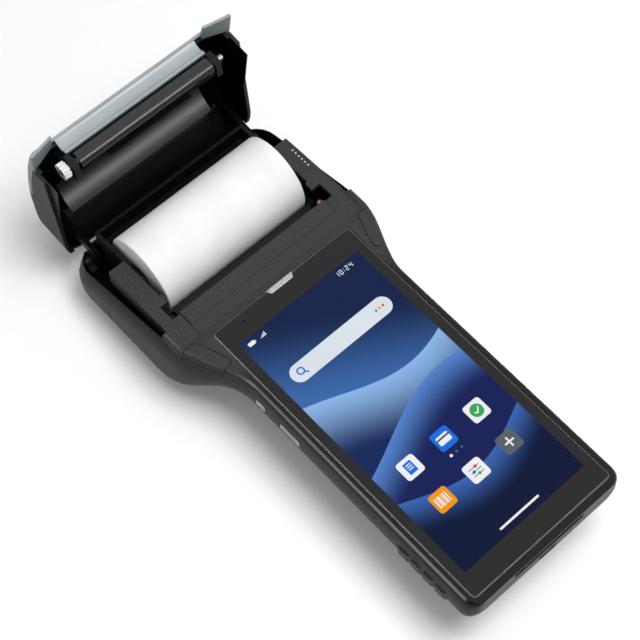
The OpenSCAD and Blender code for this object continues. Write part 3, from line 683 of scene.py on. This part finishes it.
LENS_AT = (-25.4, -35.5, 0)
BLOCK_H, BLOCK_CORNER = 1.6, 0.4
# Profiles as (radius, depth below the top of the ring)
CAMERA_RING = [(0.9, 0.06), (0.84, 0), (0.66, 0), (0.6, 0.08)]
CAMERA_LENS = [(0.6, 0.4), (0.58, 0.09), (0.4, 0.04), (0.2, 0.015), (0.03, 0.01)]


def front_camera():
    low, high = span("front_camera")
    middle, size = (low + high) / 2, high - low
    block_top = low.z + BLOCK_H
    shape = Shape()
    shape.prism(rounded(middle.x, middle.y, size.x, size.y, BLOCK_CORNER), low.z, block_top)
    ring = [(CAMERA_RING[0][0], block_top)] + [(r, high.z - depth) for r, depth in CAMERA_RING]
    shape.lathe(ring, LENS_AT)
    shape.lathe([(r, high.z - depth) for r, depth in CAMERA_LENS], LENS_AT, number=1)
    return shape.build("front_camera_lens", "housing", slots["front_camera"],
                       [looks["camera_black"], looks["lens"]])


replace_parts(front_camera(), "front_camera")


# Ground edge of the glass, which catches a thin line of light from the strip lamps; its light grey colour is a
# painted highlight along that line

GLASS_CORNER = 2.3
# Cross-section as (inset from the glass, height over its top)
EDGE_SECTION = [(-0.12, -0.28), (0.38, 0.1), (0.44, 0.1), (0.48, -0.02), (0.1, -0.34)]


def glass_edge():
    wide, long = glass_high.x - glass_low.x, glass_high.y - glass_low.y
    cx, cy = (glass_low.x + glass_high.x) / 2, (glass_low.y + glass_high.y) / 2
    loops = [[(x, y, glass_top + dz) for x, y in
              rounded(cx, cy, wide - 2 * inset, long - 2 * inset, GLASS_CORNER - inset, 8)]
             for inset, dz in EDGE_SECTION]
    shape = Shape()
    shape.add([v for loop in loops for v in loop], band_faces(len(loops), len(loops[0]), closed=True))
    shape.build("glass_edge", "housing", "cover_glass", [looks["edge_painted_highlight"]], smoothed=False)


glass_edge()


# Traces on the cable of the print head

TRACE_COUNT, TRACE_FIRST, TRACE_PITCH = 4, 0.35, 0.44
TRACE_WIDTH, TRACE_THICK, TRACE_CORNER = 0.2, 0.05, 0.09
TRACE_GAPS, TRACE_SHIFT = 0.8, 0.1


def flex_traces():
    low, high = span("flex_cable")
    y, length = (low.y + high.y) / 2 + TRACE_SHIFT, high.y - low.y - TRACE_GAPS
    shape = Shape()
    for i in range(TRACE_COUNT):
        x = low.x + TRACE_FIRST + TRACE_PITCH * i
        shape.prism(rounded(x, y, TRACE_WIDTH, length, TRACE_CORNER), high.z, high.z + TRACE_THICK)
    shape.build("flex_traces", "housing", slots["flex_cable"], [looks["brass"]])


flex_traces()


# The lit picture: soft hills of light over a dark blue sky, and generic marks

PICTURE_THICK = 0.02


def lit(tree, bsdf, colour):
    """Makes a surface that gives off its own colour behind a smooth, barely reflecting front."""
    tree.links.new(colour, bsdf.inputs["Emission Color"])
    bsdf.inputs["Emission Strength"].default_value = 1
    bsdf.inputs["Base Color"].default_value = (0, 0, 0, 1)
    bsdf.inputs["Roughness"].default_value = 0.06
    bsdf.inputs["Specular IOR Level"].default_value = 0.06


def picture_material():
    made, tree, bsdf = new_material("screen_picture")
    coords = object_coords(tree)
    # Both run from 0 to 1 over the picture
    width, length = 2 * PICTURE_HALF, PICTURE_HIGH - PICTURE_LOW
    across = math_node(tree, "MULTIPLY_ADD", axis_of(tree, coords, "X"), 1 / (width * MM), 0.5)
    start = -PICTURE_LOW / length
    along = math_node(tree, "MULTIPLY_ADD", axis_of(tree, coords, "Y"), 1 / (length * MM), start)
    slant = math_node(tree, "ADD", along, math_node(tree, "MULTIPLY", across, 0.28))
    colour = mix_colour(tree, step_node(tree, slant, 0.66, 1.06), rgb(62, 108, 176), rgb(20, 36, 74))
    # Each hill: base line, height of its wave, the wave's angle over the whole width and at the left edge,
    # colour of the crest, colour below, and how deep the light of the crest reaches
    hills = (
        (0.66, 0.060, 3.4, 2.3, rgb(146, 190, 240), rgb(22, 42, 92), 0.21),
        (0.45, 0.085, 2.7, 5.6, rgb(92, 142, 220), rgb(22, 32, 88), 0.13),
        (0.27, 0.060, 3.6, 2.9, rgb(66, 112, 196), rgb(14, 24, 58), 0.12),
    )
    for base, height, turn, phase, bright, dark, reach in hills:
        angle = math_node(tree, "ADD", math_node(tree, "MULTIPLY", across, turn), phase)
        wave = math_node(tree, "SINE", angle)
        line = math_node(tree, "ADD", math_node(tree, "MULTIPLY", wave, height), base)
        depth = math_node(tree, "SUBTRACT", line, along)
        hill = mix_colour(tree, step_node(tree, depth, -0.05, reach), bright, dark)
        colour = mix_colour(tree, step_node(tree, depth, -0.0015, 0.0015), colour, hill)
    lit(tree, bsdf, colour)
    return made


def lit_mark(name, colour):
    """A flat lit colour of the screen, with the slight fall-off of a backlight."""
    made, tree, bsdf = new_material(name)
    fall_off = noise(tree, object_coords(tree), 30, 1)
    lit(tree, bsdf, ramp(tree, fall_off, [(0.2, tuple(c * 0.94 for c in colour)), (0.8, colour)]))
    return made


picture = Shape()
picture.prism(rounded(0, (PICTURE_LOW + PICTURE_HIGH) / 2, 2 * PICTURE_HALF, PICTURE_HIGH - PICTURE_LOW, 0.4),
              glass_top, glass_top + PICTURE_THICK)
picture.build("screen_picture", "housing", "display", [picture_material()], smoothed=False)

mark_colours = {"white": rgb(240, 242, 245), "pale": rgb(222, 228, 236), "blue": rgb(28, 110, 226),
                "green": rgb(60, 168, 92), "orange": rgb(246, 152, 24), "dusk": rgb(92, 98, 106),
                "red": rgb(226, 66, 54)}
# Material numbers, in the order of mark_colours
WHITE, PALE, BLUE, GREEN, ORANGE, DUSK, RED = range(len(mark_colours))
MARK_THICK = 0.012
marks = Shape()


def mark(outline, number, level=1):
    """A flat mark on the picture; marks of a higher level lie over those of a lower one."""
    base = glass_top + PICTURE_THICK
    marks.prism(outline, base, base + MARK_THICK * level, number)


# Ends of the seven strokes of a numeral, in half widths and half heights
STROKES = {"a": (-1, 1, 1, 1), "b": (1, 1, 1, 0), "c": (1, 0, 1, -1), "d": (-1, -1, 1, -1),
           "e": (-1, 0, -1, -1), "f": (-1, 1, -1, 0), "g": (-1, 0, 1, 0)}
NUMERALS = {0: "abcdef", 1: "bc", 2: "abged", 4: "fgbc"}


def digit(cx, cy, h, value):
    """A plain seven-segment numeral."""
    half_w, half_h = h * 0.25, h / 2
    for key in NUMERALS[value]:
        x0, y0, x1, y1 = STROKES[key]
        mark(stroke(cx + x0 * half_w, cy + y0 * half_h, cx + x1 * half_w, cy + y1 * half_h, h * 0.14), WHITE)


def status_row():
    """Clock on the right, battery and signal bars on the left."""
    y = PICTURE_HIGH - 3.2
    for x, value in ((19.4, 1), (21.6, 0), (25.0, 2), (27.3, 4)):
        digit(x, y, 2.2, value)
    for dy in (-0.55, 0.55):
        mark(circle(23.3, y + dy, 0.2, 10), WHITE)
    mark(rounded(-29.5, y, 3.4, 1.9, 0.4), WHITE)
    mark(rounded(-27.5, y, 0.4, 0.9, 0.1), WHITE)
    for i in range(4):
        mark(rounded(-24.6 + 0.8 * i, y - 0.9 + 0.25 * (i + 1), 0.5, 0.5 * (i + 1), 0.1), WHITE)


def search_field():
    """A field with a magnifier at its start and three dots at its end."""
    y = PICTURE_HIGH - 27
    mark(rounded(0, y, 56, 9, 4.45, 10), PALE)
    mark(circle(-22.8, y + 0.4, 1.9), BLUE, 2)
    mark(circle(-22.8, y + 0.4, 1.2), PALE, 3)
    mark(stroke(-21.5, y - 0.9, -20.2, y - 2.2, 0.7), BLUE, 2)
    for i, number in enumerate((GREEN, ORANGE, RED)):
        mark(circle(20.0 + 2.0 * i, y, 0.62, 14), number, 2)


def receipt_sign(cx, cy):
    mark(rounded(cx, cy, 4.2, 5.6, 0.3), BLUE, 2)
    for dy in (1.5, 0.4, -0.7):
        mark(stroke(cx - 1.3, cy + dy, cx + 1.3, cy + dy, 0.45), WHITE, 3)


def card_sign(cx, cy):
    mark(rounded(cx, cy, 6.2, 4.2, 0.6), WHITE, 2)
    mark(stroke(cx - 3.1, cy + 0.7, cx + 3.1, cy + 0.7, 0.9), DUSK, 3)


def tick_sign(cx, cy):
    mark(circle(cx, cy, 3.1), GREEN, 2)
    mark(stroke(cx - 1.5, cy - 0.1, cx - 0.3, cy - 1.3, 0.6), WHITE, 3)
    mark(stroke(cx - 0.45, cy - 1.25, cx + 1.6, cy + 1.2, 0.6), WHITE, 3)


def bars_sign(cx, cy):
    for dx, w in ((-2.8, 0.7), (-1.7, 0.35), (-0.8, 0.9), (0.5, 0.35), (1.4, 0.7), (2.6, 0.5)):
        mark(rounded(cx + dx, cy, w, 4.8, 0.1), WHITE, 2)


def sliders_sign(cx, cy):
    for dy, dx, number in ((1.7, 0.9, RED), (0, -1.2, BLUE), (-1.7, 0.3, GREEN)):
        mark(stroke(cx - 2.8, cy + dy, cx + 2.8, cy + dy, 0.35), DUSK, 2)
        mark(circle(cx + dx, cy + dy, 0.75, 16), number, 3)


def plus_sign(cx, cy):
    mark(stroke(cx - 2.4, cy, cx + 2.4, cy, 0.8), WHITE, 2)
    mark(stroke(cx, cy - 2.4, cx, cy + 2.4, 0.8), WHITE, 2)


def home_row():
    """The home bar, and the dots of the pages above it."""
    mark(rounded(0, PICTURE_LOW + 3.4, 22, 1.0, 0.49), WHITE)
    for i in range(3):
        mark(circle(-3 + 3 * i, PICTURE_LOW + 39.5, 0.55 if i else 0.7, 14), DUSK if i else WHITE)


TILE, TILE_CORNER = 9.2, 1.4
TILE_PITCH = 19
TILE_ROWS = (-131, -150)
signs = ((receipt_sign, WHITE), (card_sign, BLUE), (tick_sign, WHITE),
         (bars_sign, ORANGE), (sliders_sign, WHITE), (plus_sign, DUSK))
tile_places = [(x, y) for y in TILE_ROWS for x in (-TILE_PITCH, 0, TILE_PITCH)]

status_row()
search_field()
for (x, y), (_, number) in zip(tile_places, signs):
    mark(rounded(x, y, TILE, TILE, TILE_CORNER), number)
for (x, y), (sign, _) in zip(tile_places, signs):
    sign(x, y)
home_row()
marks.build("screen_marks", "housing", "display",
            [lit_mark("mark_" + name, colour) for name, colour in mark_colours.items()], smoothed=False)


# Floor, in metres: it keeps the shadow, gives off a little light of its own to the camera and to
# reflections, and turns white far from the object

FLOOR_HALF = 4
FLOOR_DROP = 0.0002
FLOOR_LIFT = 0.1
FLOOR_DIM_IN_GLOSS = 0.55
FAR_FROM, FAR_TO = 0.3, 1.6


def stage_floor():
    mesh = bpy.data.meshes.new("floor")
    mesh.from_pydata([(x, y, 0) for x, y in ((-FLOOR_HALF, -FLOOR_HALF), (FLOOR_HALF, -FLOOR_HALF),
                                             (FLOOR_HALF, FLOOR_HALF), (-FLOOR_HALF, FLOOR_HALF))],
                     [], [(0, 1, 2, 3)])
    floor = bpy.data.objects.new("floor", mesh)
    bpy.context.scene.collection.objects.link(floor)
    floor.location.z = -FLOOR_DROP
    made, tree, bsdf = new_material("floor_pale")
    coords = object_coords(tree)
    path = tree.nodes.new("ShaderNodeLightPath").outputs
    tint = ramp(tree, noise(tree, coords, 300, 1), [(0.3, 0.86), (0.7, 0.88)])
    dimming = math_node(tree, "MULTIPLY", path["Is Glossy Ray"], FLOOR_DIM_IN_GLOSS)
    tree.links.new(mix_colour(tree, dimming, tint, (0, 0, 0)), bsdf.inputs["Base Color"])
    bsdf.inputs["Roughness"].default_value = 0.9
    bsdf.inputs["Specular IOR Level"].default_value = 0.1
    seen = math_node(tree, "MAXIMUM", path["Is Camera Ray"], path["Is Glossy Ray"])
    lift = math_node(tree, "MULTIPLY", seen, FLOOR_LIFT)
    distance = tree.nodes.new("ShaderNodeVectorMath")
    distance.operation = "LENGTH"
    tree.links.new(coords, distance.inputs[0])
    far = step_node(tree, distance.outputs["Value"], FAR_FROM, FAR_TO)
    far = math_node(tree, "MULTIPLY", far, path["Is Camera Ray"])
    bsdf.inputs["Emission Color"].default_value = (1, 1, 1, 1)
    tree.links.new(math_node(tree, "ADD", lift, far), bsdf.inputs["Emission Strength"])
    mesh.materials.append(made)


stage_floor()


# Light, with the lamps placed in metres

WORLD_LEVEL = 0.29
# Reflections see a room that is white towards this direction and dims by a share away from it
BRIGHT_SIDE = (0.36, 0.2, 0.91)
DIM_SHARE = 0.75


def set_world():
    world = bpy.data.worlds.new("studio")
    bpy.context.scene.world = world
    world.use_nodes = True
    tree = world.node_tree
    tree.nodes.clear()
    out = tree.nodes.new("ShaderNodeOutputWorld")
    path = tree.nodes.new("ShaderNodeLightPath").outputs
    room = tree.nodes.new("ShaderNodeBackground")
    room.inputs["Color"].default_value = (1, 1, 1, 1)
    room.inputs["Strength"].default_value = WORLD_LEVEL
    white = tree.nodes.new("ShaderNodeBackground")
    white.inputs["Color"].default_value = (1, 1, 1, 1)
    toward = tree.nodes.new("ShaderNodeVectorMath")
    toward.operation = "DOT_PRODUCT"
    toward.inputs[1].default_value = BRIGHT_SIDE
    tree.links.new(tree.nodes.new("ShaderNodeTexCoord").outputs["Generated"], toward.inputs[0])
    away = math_node(tree, "SUBTRACT", 1, step_node(tree, toward.outputs["Value"], -0.2, 0.9))
    dimmed = math_node(tree, "MULTIPLY", away, math_node(tree, "MULTIPLY", path["Is Glossy Ray"], DIM_SHARE))
    tree.links.new(math_node(tree, "SUBTRACT", 1, dimmed), white.inputs["Strength"])
    seen = path["Is Camera Ray"]
    for other in ("Is Glossy Ray", "Is Transmission Ray"):
        seen = math_node(tree, "MAXIMUM", seen, path[other])
    mix = tree.nodes.new("ShaderNodeMixShader")
    tree.links.new(seen, mix.inputs["Fac"])
    tree.links.new(room.outputs[0], mix.inputs[1])
    tree.links.new(white.outputs[0], mix.inputs[2])
    tree.links.new(mix.outputs[0], out.inputs["Surface"])


def area_light(name, place, aim, size, watts, mirrored=True, lights_up=True):
    data = bpy.data.lights.new(name, "AREA")
    data.shape = "RECTANGLE"
    data.size, data.size_y = size
    data.energy = watts
    lamp = bpy.data.objects.new(name, data)
    bpy.context.scene.collection.objects.link(lamp)
    lamp.location = place
    lamp.rotation_euler = (Vector(aim) - Vector(place)).to_track_quat("-Z", "Y").to_euler()
    lamp.visible_glossy = mirrored
    lamp.visible_diffuse = lights_up


set_world()
FLOOR_AIM, RIM_AIM = (0, -0.05, 0.02), (0, -0.05, 0.04)
area_light("key", (0.12, -0.34, 1.04), FLOOR_AIM, (0.45, 0.45), 7.0, mirrored=False)
area_light("top", (0.15, -0.15, 1.35), FLOOR_AIM, (0.9, 0.9), 6.3, mirrored=False)
# Two strips that only reflections see draw the bright lines along the rims
area_light("left_strip", (-0.76, 0.3, 0.6), RIM_AIM, (0.8, 0.3), 8.0, lights_up=False)
area_light("front_strip", (0.31, -0.86, 0.6), RIM_AIM, (0.8, 0.24), 6.0, lights_up=False)

bpy.context.scene.view_settings.view_transform = "Standard"


# Camera: at the photograph's viewing angle

CAMERA_TARGET = Vector((-0.668, -56.241, 47)) * MM
CAMERA_BACK = Vector((-0.311, -0.342, 0.887)).normalized()
CAMERA_DISTANCE = 746.6 * MM

camera_data = bpy.data.cameras.new("camera")
camera_data.lens = 98.9
camera_data.sensor_width = 36
camera_data.clip_start, camera_data.clip_end = 0.05, 20
camera = bpy.data.objects.new("camera", camera_data)
bpy.context.scene.collection.objects.link(camera)
bpy.context.scene.camera = camera
camera.location = CAMERA_TARGET + CAMERA_BACK * CAMERA_DISTANCE
camera.rotation_euler = (-CAMERA_BACK).to_track_quat("-Z", "Y").to_euler()
